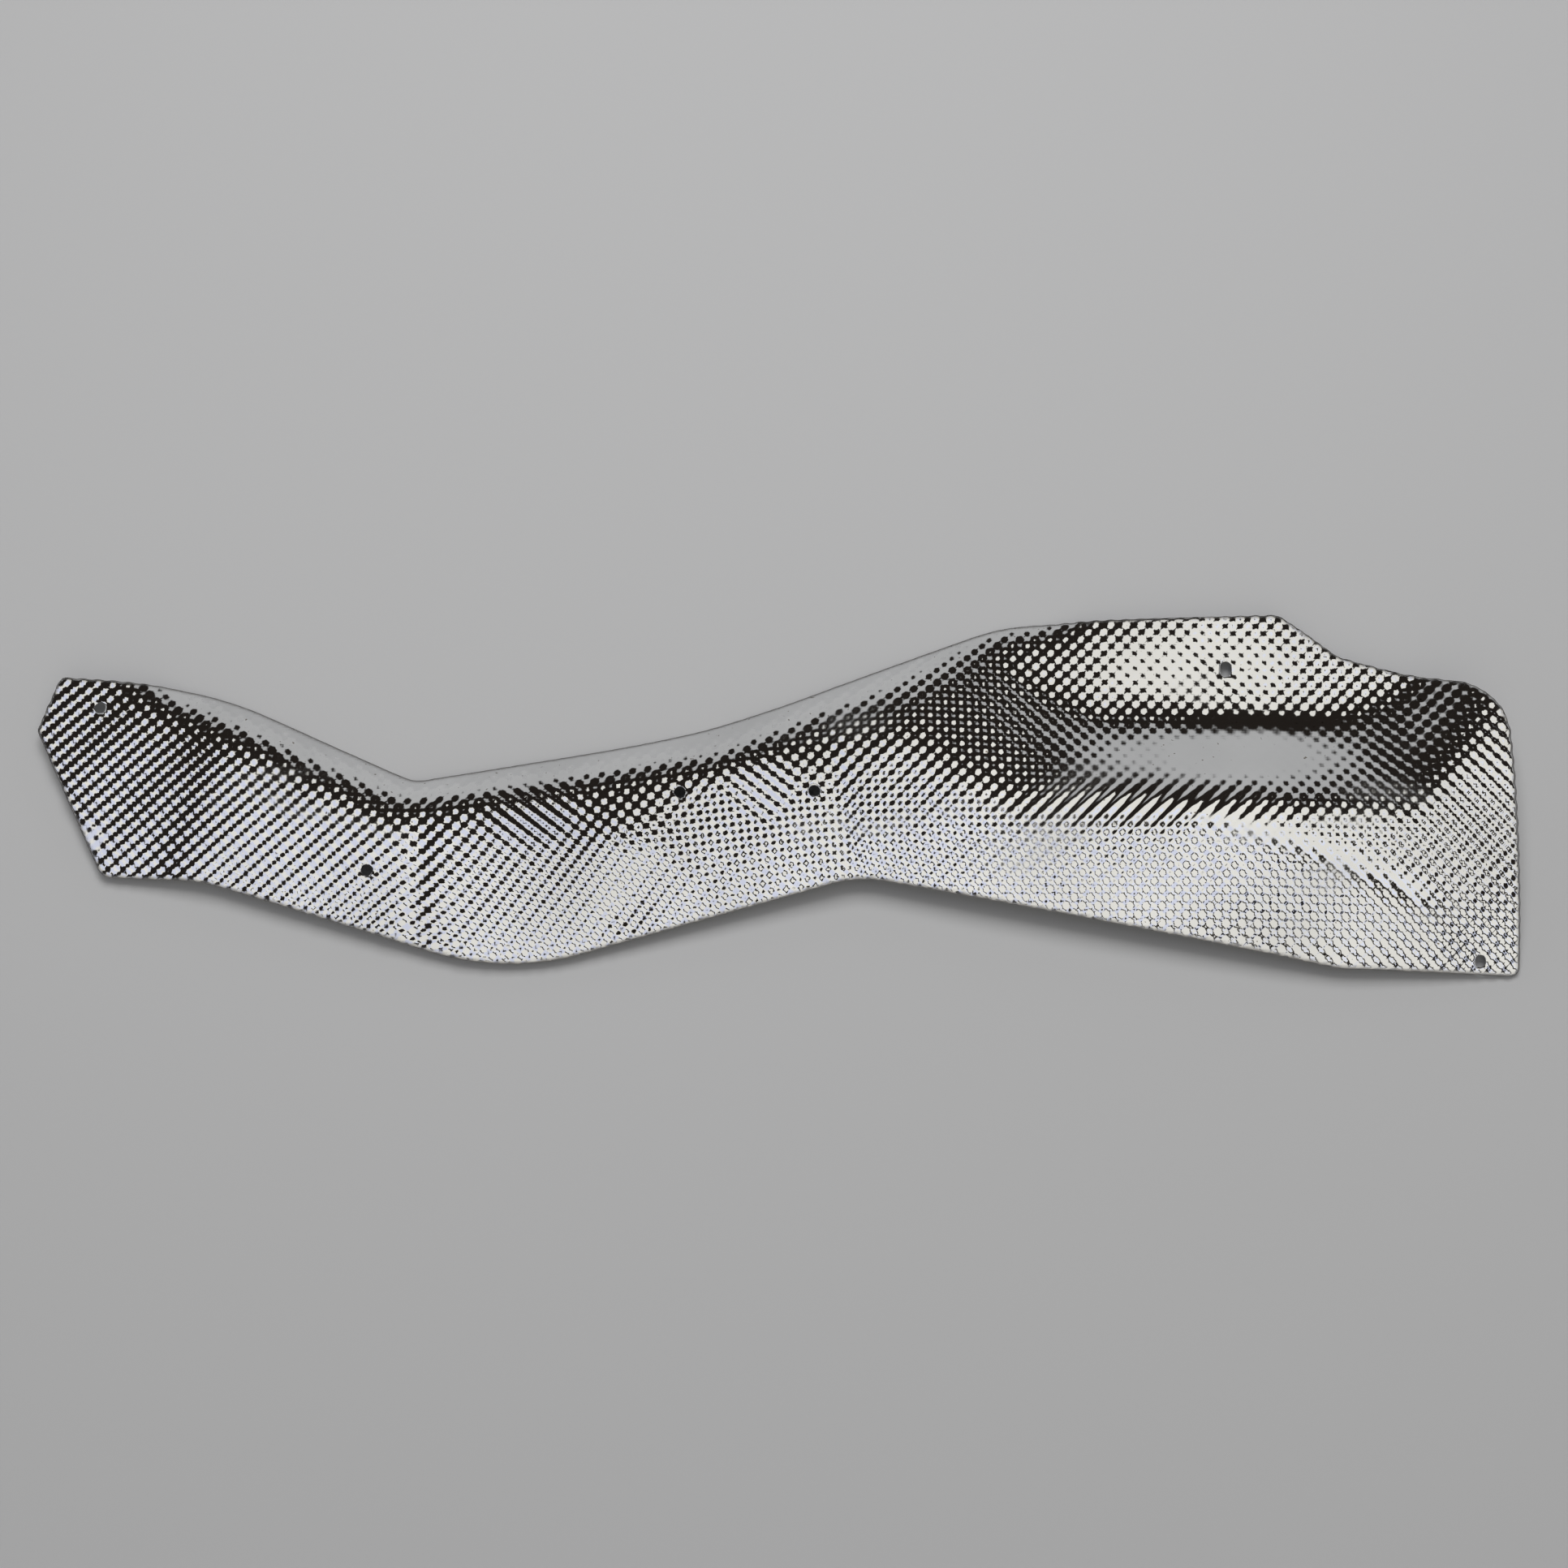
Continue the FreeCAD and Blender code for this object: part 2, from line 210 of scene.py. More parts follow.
# Noises of the finish: scale, stretch by axis, detail, and the levels at which it starts and is whole
HAZE = (13.0, (1.0, 1.0, 1.0), 4.0, 0.3, 0.7)
ROLLING_LINES = (9.0, (1.0, 70.0, 1.0), 3.0, 0.3, 0.7)
SMEARS = (16.0, (0.6, 1.6, 1.0), 5.0, 0.58, 0.7)
SPECKS = (420.0, (1.0, 1.0, 1.0), 1.0, 0.74, 0.78)
# Brightness of the haze's dull places, the colour of grime, and the painted shade that darkens the cut edge
DULL_SHARE = 0.86
GRIME = (0.3, 0.27, 0.24)
# Painted shade: a dark rim along the sheet's outline, standing in for the dark line and shadow at its edge
PAINTED_EDGE_SHADE = (0.26, 0.25, 0.24)
# Roughness between and in the rolling lines and in smears, as shares of the sheet's, and that on the edge where
# shade is painted
LINE_ROUGHNESS = (0.75, 1.25)
SMEAR_ROUGHNESS = 3.0
EDGE_SHADE_ROUGHNESS = 0.45
# The rolling lines as bump: strength, and depth in metres
LINE_BUMP = (0.08, 0.0001)

# The room that the sheet mirrors. A place in it is its run to the right and to the back for each rise of one,
# and an edge is where a thing starts and where it is whole.
DARK = (0.016, 0.013, 0.011)
# The walls: height angle in degrees, and colour
WALLS = ((0.0, (0.44, 0.44, 0.44)), (23.0, (0.42, 0.42, 0.42)), (30.0, DARK))
LEAST_RISE = 0.05
# The bright panel: its edges, and how far and across which edge its far side steps back on the right
PANEL = (0.8, 0.782, 0.73)
PANEL_LEFT = (-0.64, -0.54)
PANEL_RIGHT = (1.05, 0.92)
PANEL_FAR = (0.36, 0.3)
STEP_BACK = 0.11
STEP_EDGE = (-0.02, 0.05)
# The cool window: its place, and its edge from there
WINDOW = (0.66, 0.685, 0.81)
WINDOW_PLACE = (-0.34, -0.14)
WINDOW_EDGE = (0.42, 0.2)
# The direction across the strip and the beam, each with its place that way, edges from there, and left end
SLANT = (0.476, 0.879)
STRIP = (0.76, 0.8, 0.95)
STRIP_PLACE = 0.05
STRIP_EDGE = (0.065, 0.03)
STRIP_END = (0.1, 0.16)
BEAM_PLACE = -0.17
BEAM_EDGE = (0.115, 0.075)
BEAM_END = (0.02, 0.08)

# The stage, in metres: floor, lamp, camera and the dark screen behind the camera
MATT_ROUGHNESS = 0.9
FLOOR_REACH = 4.0
FLOOR_GLOSS = 0.1
LAMP_SIZE = 1.2
LAMP_PLACE = (0.0, 0.9, 1.9)
CAMERA_AIM = (0.0081, 0.0, 0.02)
HALF_VIEW = 0.425
SHADE = (0.02, 0.018, 0.016)
SHADE_GLOSS = 0.5
SHADE_RADIUS = 0.16
SHADE_CORNERS = 48
SHADE_GAP = 0.05


class ShieldSettings(bpy.types.PropertyGroup):
    """Sizes and finish of the dimpled sheet."""

    sheet: FloatProperty(
        name="Sheet", description="Thickness of the sheet", default=0.0005, unit="LENGTH"
    )
    pitch: FloatProperty(
        name="Dimple pitch", description="Distance between dimples of a row", default=0.006, unit="LENGTH"
    )
    relief: FloatProperty(
        name="Dimple height", description="Height from pit to peak", default=0.00145, unit="LENGTH"
    )
    mesh_step: FloatProperty(
        name="Mesh step", description="Spacing of the surface grid", default=0.00156, unit="LENGTH"
    )
    metal: FloatVectorProperty(
        name="Metal",
        description="Colour of the bare aluminium",
        default=(0.87, 0.875, 0.88),
        subtype="COLOR",
    )
    roughness: FloatProperty(
        name="Roughness", description="Sheen of the mill finish", default=0.075, subtype="FACTOR"
    )


class StageSettings(bpy.types.PropertyGroup):
    """Floor, light and camera."""

    floor: FloatVectorProperty(
        name="Floor", description="Colour of the floor", default=(0.44, 0.442, 0.447), subtype="COLOR"
    )
    sky: FloatProperty(
        name="Overhead light", description="Brightness of the overhead light", default=1.1
    )
    key: FloatProperty(
        name="Key lamp",
        description="Power of the soft lamp behind the shield",
        default=29.0,
        unit="POWER",
    )
    distance: FloatProperty(
        name="Camera distance", description="From the camera to the shield", default=1.25, unit="LENGTH"
    )
    elevation: FloatProperty(
        name="Camera elevation",
        description="Height angle of the camera",
        default=math.radians(72.0),
        unit="ROTATION",
    )


def ramp(distance, blend):
    """Nought before a corner and the distance itself after it, rounded over the blend length."""
    return 0.5 * (distance + np.hypot(distance, blend))


def soft_line(along, points, blend):
    """A line through points, each inner corner added as its change of slope times a rounded ramp."""
    (start, level), (second, next_level) = points[0], points[1]
    pitch = (next_level - level) / (second - start)
    value = level + pitch * (along - start)
    for (here, now), (ahead, then) in zip(points[1:-1], points[2:]):
        next_pitch = (then - now) / (ahead - here)
        value = value + (next_pitch - pitch) * ramp(along - here, blend)
        pitch = next_pitch
    return value


def lower_of(first, second, rounding):
    """The lower of two heights, with a rounded roll where they cross."""
    return 0.5 * (first + second - np.hypot(first - second, 2 * rounding))


def upper_of(first, second, rounding):
    """The higher of two heights, with a rounded fillet where they cross."""
    return 0.5 * (first + second + np.hypot(first - second, 2 * rounding))


def slope(degrees):
    """Rise per run of an angle."""
    return math.tan(math.radians(degrees))


def spot(along, across, middle, reach):
    """A soft oval mask: one at its middle, falling to nought over its reach along and across."""
    square = ((along - middle[0]) / reach[0]) ** 2 + ((across - middle[1]) / reach[1]) ** 2
    return np.exp(-(square ** 2))


def crowned_face(along, across):
    """The long face, a lean and a bend about its crown, rolled into the wall that falls behind its crest."""
    crown = soft_line(along, [(x, y) for x, y, z in CROWN], CROWN_BLEND)
    top = soft_line(along, [(x, z) for x, y, z in CROWN], CROWN_BLEND)
    lean = soft_line(along, [(x, slope(v)) for x, v in FACE_LEAN], CROWN_BLEND)
    bend = soft_line(along, [(x, 1.0 / v) for x, v in FACE_RADIUS], CROWN_BLEND)
    away = across - crown
    face = top + lean * away - 0.5 * bend * away * away
    crest = soft_line(along, [(x, y) for x, y, v in CREST], CREST_BLEND)
    falls = [(CROWN[0][0], slope(CREST[0][2]))] + [(x, slope(v)) for x, y, v in CREST]
    fall = soft_line(along, falls, CREST_BLEND)
    wall = top + lean * (crest - crown) - fall * (across - crest)
    return lower_of(face, wall, CREST_ROLL)


def pressed_face(along, across):
    """The creased face or the fixing pad, whichever is higher, with a fillet between them."""
    face = crowned_face(along, across)
    for place, skew in CREASES:
        middle = place + slope(skew) * across
        face = face - CREASE_DEPTH * np.exp(-(((along - middle) / CREASE_WIDTH) ** 2))
    pad = PAD_EDGE + slope(PAD_LEAN) * (PAD_BACK - across)
    pad = pad - slope(PAD_DROP) * ramp(PAD_FRONT - across, PAD_BLEND)
    return upper_of(face, pad, PAD_FILLET)


def flange_plane(along, across):
    """The back flange: a plane that rises inward from the back edge, and runs out upward at both ends."""
    edge = soft_line(along, BACK_EDGE, FLANGE_BLEND)
    nearby = soft_line(along + 1.0, BACK_EDGE, FLANGE_BLEND)
    inward = (edge - across) / np.hypot(1.0, nearby - edge)
    runout = ramp(FLANGE_REACH[0] - along, FLANGE_BLEND) + ramp(along - FLANGE_REACH[1], FLANGE_BLEND)
    return FLANGE_EDGE + slope(FLANGE_LEAN) * inward + slope(FLANGE_RUNOUT) * runout


def sheet_height(along, across):
    """The pressed form: the face and the pad, rolled down into the back flange."""
    return lower_of(pressed_face(along, across), flange_plane(along, across), FLANGE_ROLL)


def dimples(along, across, pitch):
    """Egg-box relief from minus one to one: the blunted mean of two crossed cosines, on rows whose turn
    changes. Where the sheet was stretched, one of the two outweighs the other and the dimples join into
    streaks."""
    turn = np.radians(soft_line(along, ROW_TURN, ROW_BLEND))
    places = np.arange(*ROW_REACH)
    turns = np.radians(soft_line(places, ROW_TURN, ROW_BLEND))
    drift = np.interp(along, places, np.cumsum(turns) - turns[0])
    turned_along = along - turn * across
    turned_across = across + drift
    wave = 2 * math.pi / pitch / math.sqrt(2.0)
    falling = np.cos(wave * (turned_along + turned_across))
    rising = np.cos(wave * (turned_along - turned_across))
    streak = np.zeros_like(along)
    for x, y, reach_x, reach_y, share in STREAKS:
        streak += share * spot(along, across, (x, y), (reach_x, reach_y))
    crossed = 0.5 * ((1.0 - streak) * falling + (1.0 + streak) * rising)
    return np.tanh(BLUNTNESS * crossed) / math.tanh(BLUNTNESS)


def ridge_mask(along, across):
    """One on the lobe's ridge line, falling to nought over its width and past its ends."""
    (x0, y0), (x1, y1) = RIDGE_LINE
    length = math.hypot(x1 - x0, y1 - y0)
    down = ((along - x0) * (x1 - x0) + (across - y0) * (y1 - y0)) / length
    beside = ((across - y0) * (x1 - x0) - (along - x0) * (y1 - y0)) / length
    past = np.maximum(np.abs(down - 0.5 * length) - 0.5 * length, 0.0)
    return np.exp(-((beside / RIDGE_WIDTH) ** 2) - (past / (2 * RIDGE_WIDTH)) ** 2)


def handling(along, across):
    """Small departures from the pressed form: soft dents, a ridge, a step up behind the tip, a back that
    leans away behind a slanting fold, and crossed waves."""
    height = RIDGE_HEIGHT * ridge_mask(along, across)
    for x, y, reach_x, reach_y, rise in DENTS:
        height += rise * np.exp(-(((along - x) / reach_x) ** 2) - ((across - y) / reach_y) ** 2)
    place, skew, rise, width, reach = TIP_FOLD
    behind = (along - place - slope(skew) * across) / width
    height += rise * np.tanh(behind) * np.exp(-((behind / reach) ** 2))
    (x0, y0), (x1, y1), fall, fade = ARM_FOLD
    line = y0 + (along - x0) * (y1 - y0) / (x1 - x0)
    between = 1.0 / (1.0 + np.exp((along - x1) / fade)) / (1.0 + np.exp((x0 - along) / fade))
    height -= slope(fall) * ramp(across - line, fade) * between
    for rise, length, breadth in WAVES:
        wave_along = np.sin(2 * math.pi * along / length + WAVE_START)
        height += rise * wave_along * np.sin(2 * math.pi * across / breadth + length)
    return height


def surface(along, across, settings):
    """Height of the finished sheet: the pressed form as handled, and dimples that are flatter where it was
    drawn."""
    share = 1.0 - RIDGE_DRAWN * ridge_mask(along, across)
    for x, y, reach_x, reach_y, lost in DRAWN:
        share = share * (1.0 - lost * spot(along, across, (x, y), (reach_x, reach_y)))
    over_flange = pressed_face(along, across) - flange_plane(along, across)
    share = share * (1.0 - FLANGE_DRAWN * np.clip(over_flange / FLANGE_ROLL, 0.0, 1.0))
    raised = 0.5 * MM * settings.relief * share * dimples(along, across, settings.pitch * MM)
    return sheet_height(along, across) + handling(along, across) + raised


def rounded_outline():
    """The outline as a closed ring of points: each corner gives an arc that touches both of its sides."""
    corner = np.array([(x, y) for x, y, r in OUTLINE])
    radius = np.array([r for x, y, r in OUTLINE])
    before = np.roll(corner, 1, axis=0) - corner
    after = np.roll(corner, -1, axis=0) - corner
    before /= np.linalg.norm(before, axis=1)[:, None]
    after /= np.linalg.norm(after, axis=1)[:, None]
    half = 0.5 * np.arccos(np.clip((before * after).sum(axis=1), -1.0, 1.0))
    inward = before + after
    inward /= np.linalg.norm(inward, axis=1)[:, None]
    centre = corner + inward * (radius / np.sin(half))[:, None]
    start = corner + before * (radius / np.tan(half))[:, None] - centre
    finish = corner + after * (radius / np.tan(half))[:, None] - centre
    first = np.arctan2(start[:, 1], start[:, 0])
    sweep = np.arctan2(finish[:, 1], finish[:, 0]) - first
    sweep = (sweep + math.pi) % (2 * math.pi) - math.pi
    angle = first[:, None] + sweep[:, None] * np.linspace(0.0, 1.0, ARC_POINTS)[None, :]
    spoke = np.stack((np.cos(angle), np.sin(angle)), axis=2)
    ring = centre[:, None, :] + radius[:, None, None] * spoke
    return ring.reshape(-1, 2)


def depth_inside(along, across, ring):
    """Distance in from the outline, negative outside: the nearest side, with the sign by crossings counted."""
    points = np.stack((along, across), axis=1)
    nearest = np.full(len(points), np.inf)
    inside = np.zeros(len(points), dtype=bool)
    for start, finish in zip(ring, np.roll(ring, -1, axis=0)):
        run = finish - start
        length = run @ run
        if length < NO_LENGTH:
            continue
        rel = points - start
        share = np.clip(rel @ run / length, 0.0, 1.0)
        gap = rel - share[:, None] * run
        nearest = np.minimum(nearest, np.einsum("ij,ij->i", gap, gap))
        crosses = (start[1] > across) != (finish[1] > across)
        if run[1] != 0.0:
            inside ^= crosses & (along < start[0] + run[0] * (across - start[1]) / run[1])
    return np.where(inside, 1.0, -1.0) * np.sqrt(nearest)


def clear_of_holes(along, across):
    """Distance out from the nearest hole's edge, negative inside a hole; a slot is a hole drawn along its
    travel."""
    depth = np.full(along.shape, np.inf)
    for x, y, radius, travel in HOLES:
        offset = across - y
        offset = offset - np.clip(offset, -travel, travel)
        depth = np.minimum(depth, np.hypot(along - x, offset) - radius)
    return depth


def cut_sheet(ring, step):
    """A square grid in plan cut along the edges: cells inside stay whole, and cells on an edge keep the
    polygon between their inner corners and the points where the edge crosses their sides."""
    low, high = ring.min(axis=0) - step, ring.max(axis=0) + step
    xs = np.arange(low[0], high[0] + step, step)
    ys = np.arange(low[1], high[1] + step, step)
    gx, gy = np.meshgrid(xs, ys, indexing="ij")
    depth = depth_inside(gx.ravel(), gy.ravel(), ring).reshape(gx.shape)
    depth = np.minimum(depth, clear_of_holes(gx, gy))
    kept = depth > 0.0
    node = np.full(gx.shape, -1)
    node[kept] = np.arange(kept.sum())
    count = int(kept.sum())
    places = [np.stack((gx[kept], gy[kept]), axis=1)]

    def crossings(here, there, count):
        """Points where an edge crosses the grid's lines, by the share of depth at the two ends."""
        hit = (depth[here] > 0.0) != (depth[there] > 0.0)
        share = depth[here][hit] / (depth[here][hit] - depth[there][hit])
        index = np.full(hit.shape, -1)
        index[hit] = count + np.arange(hit.sum())
        point = [grid[here][hit] + share * (grid[there] - grid[here])[hit] for grid in (gx, gy)]
        places.append(np.stack(point, axis=1))
        return index, count + int(hit.sum())

    every, first, last = slice(None), slice(None, -1), slice(1, None)
    side, count = crossings((first, every), (last, every), count)
    rise, count = crossings((every, first), (every, last), count)
    round_cell = np.stack(
        (
            node[:-1, :-1], side[:, :-1], node[1:, :-1], rise[1:, :],
            node[1:, 1:], side[:, 1:], node[:-1, 1:], rise[:-1, :],
        ),
        axis=-1,
    ).reshape(-1, ROUND_CELL)
    round_cell = round_cell[(round_cell >= 0).sum(axis=1) >= 3]
    order = np.argsort(round_cell < 0, axis=1, kind="stable")
    return np.concatenate(places), np.take_along_axis(round_cell, order, axis=1)


def skins(plan, ring, settings):
    """Points of the upper and then the lower skin, half a gauge either side of the surface along its normal.
    The outline's middle is at the origin, and the solid's lowest edge is on the floor."""
    x, y = plan[:, 0], plan[:, 1]
    rise_along = (surface(x + NEAR, y, settings) - surface(x - NEAR, y, settings)) / (2 * NEAR)
    rise_across = (surface(x, y + NEAR, settings) - surface(x, y - NEAR, settings)) / (2 * NEAR)
    normal = np.stack((-rise_along, -rise_across, np.ones_like(x)), axis=1)
    normal /= np.linalg.norm(normal, axis=1)[:, None]
    middle = np.stack((x, y, surface(x, y, settings)), axis=1)
    half = 0.5 * MM * settings.sheet
    points = np.concatenate((middle + normal * half, middle - normal * half))
    lowest = sheet_height(ring[:, 0], ring[:, 1]).min() - 0.5 * CAD_GAUGE
    centre = 0.5 * (ring.min(axis=0) + ring.max(axis=0))
    return points - (centre[0], centre[1], lowest)


def closed_faces(cells, count):
    """Corners and sizes of the faces, and the number of walls: the cells of the upper skin, the same turned
    round for the lower one, and a four-sided wall on each side that only one cell has."""
    size = (cells >= 0).sum(axis=1)
    place = np.arange(ROUND_CELL)[None, :]
    filled = place < size[:, None]
    after = np.where(place == (size - 1)[:, None], cells[:, :1], np.roll(cells, -1, axis=1))
    start, finish = cells[filled], after[filled]
    border = ~np.isin(start * count + finish, finish * count + start)
    start, finish = start[border], finish[border]
    walls = np.stack((finish, start, start + count, finish + count), axis=1)
    turned = np.take_along_axis(cells, (size[:, None] - 1 - place) % ROUND_CELL, axis=1)
    corners = np.concatenate((cells[filled], turned[filled] + count, walls.ravel()))
    sizes = np.concatenate((size, size, np.full(len(walls), walls.shape[1])))
    return corners, sizes, len(walls)


def sheet_mesh(name, settings):
    """The sheet as one closed mesh: two smooth skins, and a flat-shaded wall round every cut edge. An attribute
    holds a bell curve of the distance from the outline, one on its edge."""
    ring = rounded_outline()
    plan, cells = cut_sheet(ring, settings.mesh_step * MM)
    points = skins(plan, ring, settings)
    corners, sizes, walls = closed_faces(cells, len(plan))
    mesh = bpy.data.meshes.new(name)
    mesh.vertices.add(len(points))
    mesh.vertices.foreach_set("co", (points / MM).ravel())
    mesh.loops.add(len(corners))
    mesh.loops.foreach_set("vertex_index", corners.astype(np.int32))
    mesh.polygons.add(len(sizes))
    starts = np.concatenate(((0,), np.cumsum(sizes)[:-1]))
    mesh.polygons.foreach_set("loop_start", starts.astype(np.int32))
    mesh.polygons.foreach_set("use_smooth", np.arange(len(sizes)) < len(sizes) - walls)
    mesh.update(calc_edges=True)
    # A bell curve in from the outline, one on its edge: it marks where the material paints shade along the cut
    # edge
    edge = np.exp(-((depth_inside(plan[:, 0], plan[:, 1], ring) / EDGE_REACH) ** 2))
    edge_shade_mask = mesh.attributes.new("edge_shade_mask", "FLOAT", "POINT")
    edge_shade_mask.data.foreach_set("value", np.concatenate((edge, edge)).astype(np.float32))
    if mesh.validate():
        raise RuntimeError("the sheet's mesh had faults")
    return mesh


def aluminium(settings):
    """Bright mill-finish aluminium: fine rolling lines along the sheet, faint haze, dull smears, small specks
    of grime, and painted shade that darkens the cut edge."""
    material = bpy.data.materials.new("embossed_aluminium")
    material.use_nodes = True
    nodes, links = material.node_tree.nodes, material.node_tree.links
    shader = nodes["Principled BSDF"]
    shader.inputs["Metallic"].default_value = 1.0
    place = nodes.new("ShaderNodeTexCoord")

    def noise(scale, stretch, detail, low, high):
        """A noise over the sheet, stretched by axis, as a share that rises from nought at low to one at high."""
        spread = nodes.new("ShaderNodeMapping")
        spread.inputs["Scale"].default_value = stretch
        links.new(place.outputs["Object"], spread.inputs["Vector"])
        grain = nodes.new("ShaderNodeTexNoise")
        grain.inputs["Scale"].default_value = scale
        grain.inputs["Detail"].default_value = detail
        links.new(spread.outputs["Vector"], grain.inputs["Vector"])
        share = nodes.new("ShaderNodeMapRange")
        share.inputs["From Min"].default_value = low
        share.inputs["From Max"].default_value = high
        links.new(grain.outputs["Fac"], share.inputs["Value"])
        return share.outputs["Result"]

    def blend(kind, share, first, second):
        """Two values or colours mixed by a share; each is a socket or a constant."""
        mix = nodes.new("ShaderNodeMix")
        mix.data_type = kind
        sockets = [socket for socket in mix.inputs if socket.enabled]
        for socket, value in zip(sockets, (share, first, second)):
            if isinstance(value, bpy.types.NodeSocket):
                links.new(value, socket)
            else:
                socket.default_value = value
        return next(socket for socket in mix.outputs if socket.enabled)

    lines = noise(*ROLLING_LINES)
    edge_shade_mask = nodes.new("ShaderNodeAttribute")
    edge_shade_mask.attribute_name = "edge_shade_mask"
    edge = edge_shade_mask.outputs["Fac"]

    bright = (*settings.metal, 1.0)
    dull = (*[DULL_SHARE * value for value in settings.metal], 1.0)
    tone = blend("RGBA", noise(*HAZE), dull, bright)
    tone = blend("RGBA", noise(*SPECKS), tone, (*GRIME, 1.0))
    # Painted shade: the colour darkens towards a near-black rim on the outline's edge
    tone = blend("RGBA", edge, tone, (*PAINTED_EDGE_SHADE, 1.0))
    links.new(tone, shader.inputs["Base Color"])
    sheen = blend("FLOAT", lines, *[share * settings.roughness for share in LINE_ROUGHNESS])
    sheen = blend("FLOAT", noise(*SMEARS), sheen, SMEAR_ROUGHNESS * settings.roughness)
    sheen = blend("FLOAT", edge, sheen, EDGE_SHADE_ROUGHNESS)
    links.new(sheen, shader.inputs["Roughness"])
    bump = nodes.new("ShaderNodeBump")
    bump.inputs["Strength"].default_value, bump.inputs["Distance"].default_value = LINE_BUMP
    links.new(lines, bump.inputs["Height"])
    links.new(bump.outputs["Normal"], shader.inputs["Normal"])
    return material


def matt(name, colour, gloss):
    """A plain matt material."""
    material = bpy.data.materials.new(name)
    material.use_nodes = True
    shader = material.node_tree.nodes["Principled BSDF"]
    shader.inputs["Base Color"].default_value = (*colour, 1.0)
    shader.inputs["Roughness"].default_value = MATT_ROUGHNESS
    shader.inputs["Specular IOR Level"].default_value = gloss
    return material


def lay_floor(context, settings):
    """A wide square of matt floor at the height that the shield lies on."""
    mesh = bpy.data.meshes.new("floor")
    corners = [(x * FLOOR_REACH, y * FLOOR_REACH, 0.0) for x, y in ((-1, -1), (1, -1), (1, 1), (-1, 1))]
    mesh.from_pydata(corners, [], [(0, 1, 2, 3)])
    mesh.materials.append(matt("floor", settings.floor, FLOOR_GLOSS))
    floor = bpy.data.objects.new("floor", mesh)
    context.collection.objects.link(floor)


def light_sky(scene, settings):
    """The room by direction: pale walls low down, a dark gap above them, and a broad warm panel of light
    overhead. A round cool window lies on the panel's left, and a cool strip and a dark beam slant across its
    right."""
    world = bpy.data.worlds.new("studio")
    scene.world = world
    world.use_nodes = True
    nodes, links = world.node_tree.nodes, world.node_tree.links
    place = nodes.new("ShaderNodeTexCoord")
    split = nodes.new("ShaderNodeSeparateXYZ")
    links.new(place.outputs["Generated"], split.inputs["Vector"])
    walls = nodes.new("ShaderNodeValToRGB")
    paint_ramp(walls, [(math.sin(math.radians(angle)), tone) for angle, tone in WALLS])
    links.new(split.outputs["Z"], walls.inputs["Fac"])

    def lay(under, colour, share):
        """One colour laid over another by its share."""
        over = nodes.new("ShaderNodeMix")
        over.data_type = "RGBA"
        over.inputs["B"].default_value = (*colour, 1.0)
        links.new(share, over.inputs["Factor"])
        links.new(under, over.inputs["A"])
        return over.outputs["Result"]

    def maths(operation, first, second):
        """One step of arithmetic on two values or sockets."""
        step = nodes.new("ShaderNodeMath")
        step.operation = operation
        for socket, value in zip(step.inputs, (first, second)):
            if isinstance(value, float):
                socket.default_value = value
            else:
                links.new(value, socket)
        return step.outputs["Value"]

    def edge(value, outside, inside):
        """Rises from nought outside an edge to one inside it."""
        fade = nodes.new("ShaderNodeMapRange")
        fade.interpolation_type = "SMOOTHSTEP"
        fade.inputs["From Min"].default_value = outside
        fade.inputs["From Max"].default_value = inside
        links.new(value, fade.inputs["Value"])
        return fade.outputs["Result"]

    def distance(value, middle):
        """How far a value is from a middle one."""
        return maths("ABSOLUTE", maths("SUBTRACT", value, middle), 0.0)

    def away_from(middle_side, middle_far):
        """How far a direction is from a middle one."""
        square = maths("POWER", maths("SUBTRACT", side, middle_side), 2.0)
        square = maths("ADD", square, maths("POWER", maths("SUBTRACT", far, middle_far), 2.0))
        return maths("SQRT", square, 0.0)

    up = maths("MAXIMUM", split.outputs["Z"], LEAST_RISE)
    side = maths("DIVIDE", split.outputs["X"], up)
    far = maths("DIVIDE", split.outputs["Y"], up)
    stepped = maths("SUBTRACT", far, maths("MULTIPLY", edge(side, *STEP_EDGE), STEP_BACK))
    panel = maths("MULTIPLY", edge(side, *PANEL_LEFT), edge(stepped, *PANEL_FAR))
    panel = maths("MULTIPLY", panel, edge(side, *PANEL_RIGHT))
    room = lay(walls.outputs["Color"], PANEL, panel)
    room = lay(room, WINDOW, edge(away_from(*WINDOW_PLACE), *WINDOW_EDGE))
    slant = maths("ADD", maths("MULTIPLY", side, SLANT[0]), maths("MULTIPLY", far, SLANT[1]))
    strip = maths("MULTIPLY", edge(distance(slant, STRIP_PLACE), *STRIP_EDGE), edge(side, *STRIP_END))
    room = lay(room, STRIP, strip)
    beam = maths("MULTIPLY", edge(distance(slant, BEAM_PLACE), *BEAM_EDGE), edge(side, *BEAM_END))
    room = lay(room, DARK, beam)
    light = nodes["Background"]
    links.new(room, light.inputs["Color"])
    light.inputs["Strength"].default_value = settings.sky


def paint_ramp(node, stops):
    """Sets a colour ramp's stops."""
    elements = node.color_ramp.elements
    while len(elements) < len(stops):
        elements.new(1.0)
    for element, (position, colour) in zip(elements, stops):
        element.position = position
        element.color = (*colour, 1.0)


def hang_lamp(context, settings):
    """A soft lamp above and behind the shield, which lights the floor and leaves a shadow in front."""
    lamp = bpy.data.lights.new("key", "AREA")
    lamp.shape = "SQUARE"
    lamp.size = LAMP_SIZE
    lamp.energy = settings.key
    holder = bpy.data.objects.new("key", lamp)
    holder.location = LAMP_PLACE
    holder.rotation_euler = (-math.atan2(LAMP_PLACE[1], LAMP_PLACE[2]), 0.0, 0.0)
    holder.visible_glossy = False
    context.collection.objects.link(holder)


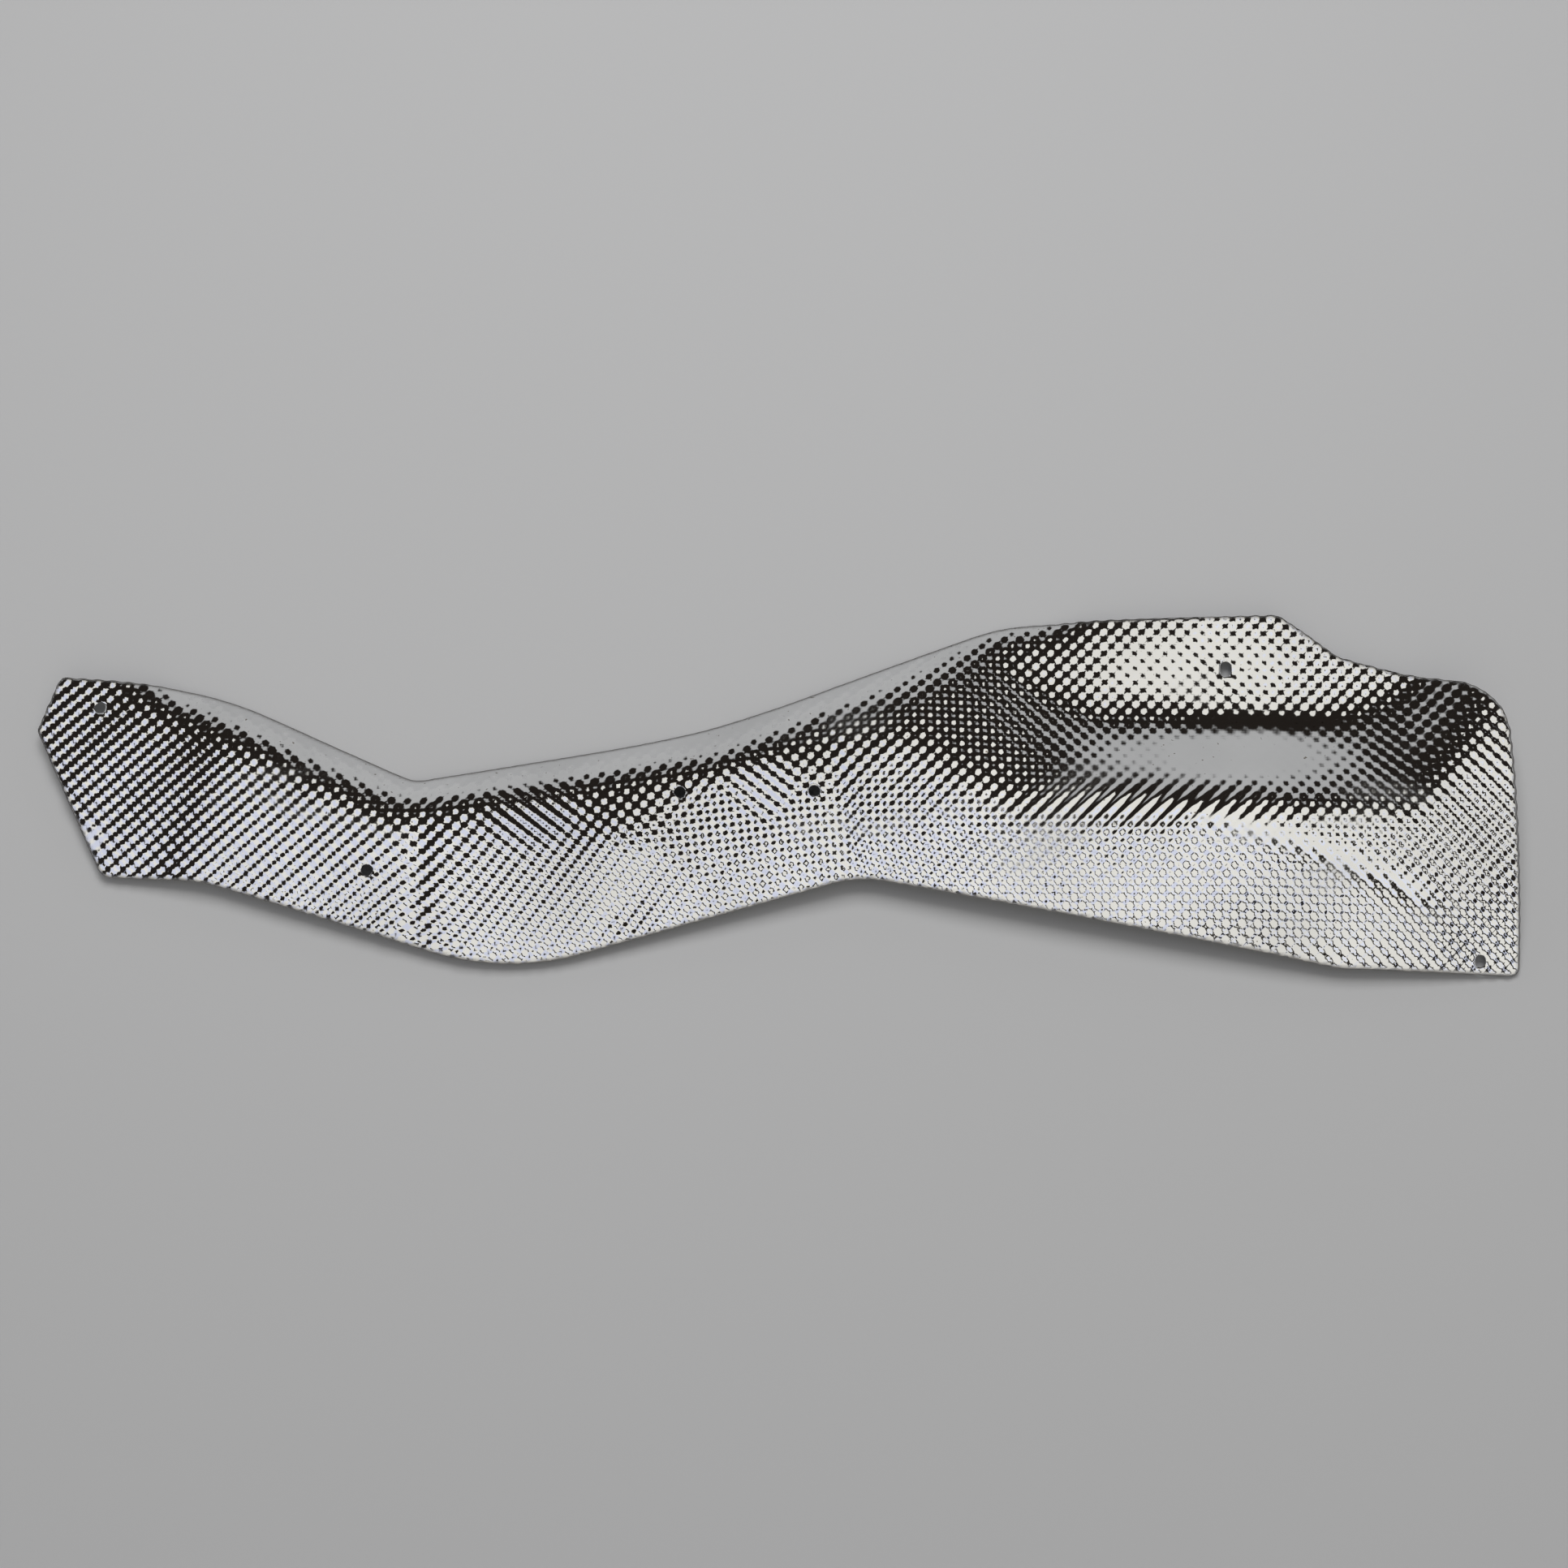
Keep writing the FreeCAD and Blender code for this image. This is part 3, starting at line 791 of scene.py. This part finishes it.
def set_camera(context, settings):
    """A camera straight in front of the shield, looking down on it."""
    camera = bpy.data.cameras.new("camera")
    camera.lens = 0.5 * camera.sensor_width * settings.distance / HALF_VIEW
    holder = bpy.data.objects.new("camera", camera)
    x, y, z = CAMERA_AIM
    level = settings.distance * math.cos(settings.elevation)
    holder.location = (x, y - level, z + settings.distance * math.sin(settings.elevation))
    holder.rotation_euler = (math.pi / 2 - settings.elevation, 0.0, 0.0)
    context.collection.objects.link(holder)
    context.scene.camera = holder


def hang_shade(context, settings):
    """A round dark screen behind the camera, which the sheet mirrors where it faces the camera. No camera sees
    it, and it casts no shadow."""
    turns = np.linspace(0.0, 2 * math.pi, SHADE_CORNERS, endpoint=False)
    points = SHADE_RADIUS * np.stack((np.cos(turns), np.sin(turns), np.zeros_like(turns)), axis=1)
    mesh = bpy.data.meshes.new("shade")
    mesh.from_pydata(points.tolist(), [], [tuple(range(SHADE_CORNERS))])
    mesh.materials.append(matt("shade", SHADE, SHADE_GLOSS))
    shade = bpy.data.objects.new("shade", mesh)
    camera = context.scene.camera
    back = mathutils.Vector((0.0, -math.cos(settings.elevation), math.sin(settings.elevation)))
    shade.location = camera.location + SHADE_GAP * back
    shade.rotation_euler = camera.rotation_euler
    shade.visible_camera = False
    shade.visible_shadow = False
    context.collection.objects.link(shade)


class SHIELD_OT_sheet(bpy.types.Operator):
    """Builds the dimpled sheet in place of its plain solid"""

    bl_idname = "shield.sheet"
    bl_label = "Dimpled Sheet"

    def execute(self, context):
        settings = context.scene.shield
        sheet = bpy.data.objects.new("dimpled_sheet", sheet_mesh("dimpled_sheet", settings))
        context.collection.objects.link(sheet)
        sheet.data.materials.append(aluminium(settings))
        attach(sheet, "root")
        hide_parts("heat_shield")
        return {"FINISHED"}


class SHIELD_OT_stage(bpy.types.Operator):
    """Lays the floor, lights it and sets the camera"""

    bl_idname = "shield.stage"
    bl_label = "Stage"

    def execute(self, context):
        settings = context.scene.shield_stage
        scene = context.scene
        lay_floor(context, settings)
        light_sky(scene, settings)
        hang_lamp(context, settings)
        set_camera(context, settings)
        hang_shade(context, settings)
        scene.view_settings.view_transform = "Standard"
        return {"FINISHED"}


class SHIELD_PT_panel(bpy.types.Panel):
    """Settings and buttons for the heat shield"""

    bl_idname = "SHIELD_PT_panel"
    bl_label = "Heat Shield"
    bl_space_type = "VIEW_3D"
    bl_region_type = "UI"
    bl_category = "Heat Shield"

    def draw(self, context):
        for settings in (context.scene.shield, context.scene.shield_stage):
            column = self.layout.column()
            for name in settings.__annotations__:
                column.prop(settings, name)
        self.layout.operator("shield.sheet")
        self.layout.operator("shield.stage")


CLASSES = (ShieldSettings, StageSettings, SHIELD_OT_sheet, SHIELD_OT_stage, SHIELD_PT_panel)


def register():
    """Adds the classes and their settings to Blender."""
    for item in CLASSES:
        bpy.utils.register_class(item)
    bpy.types.Scene.shield = PointerProperty(type=ShieldSettings)
    bpy.types.Scene.shield_stage = PointerProperty(type=StageSettings)


def unregister():
    """Takes the settings and classes out again."""
    del bpy.types.Scene.shield
    del bpy.types.Scene.shield_stage
    for item in reversed(CLASSES):
        bpy.utils.unregister_class(item)


def main():
    """Builds the shield and its stage."""
    register()
    bpy.ops.shield.sheet()
    bpy.ops.shield.stage()


if __name__ == "__main__":
    main()
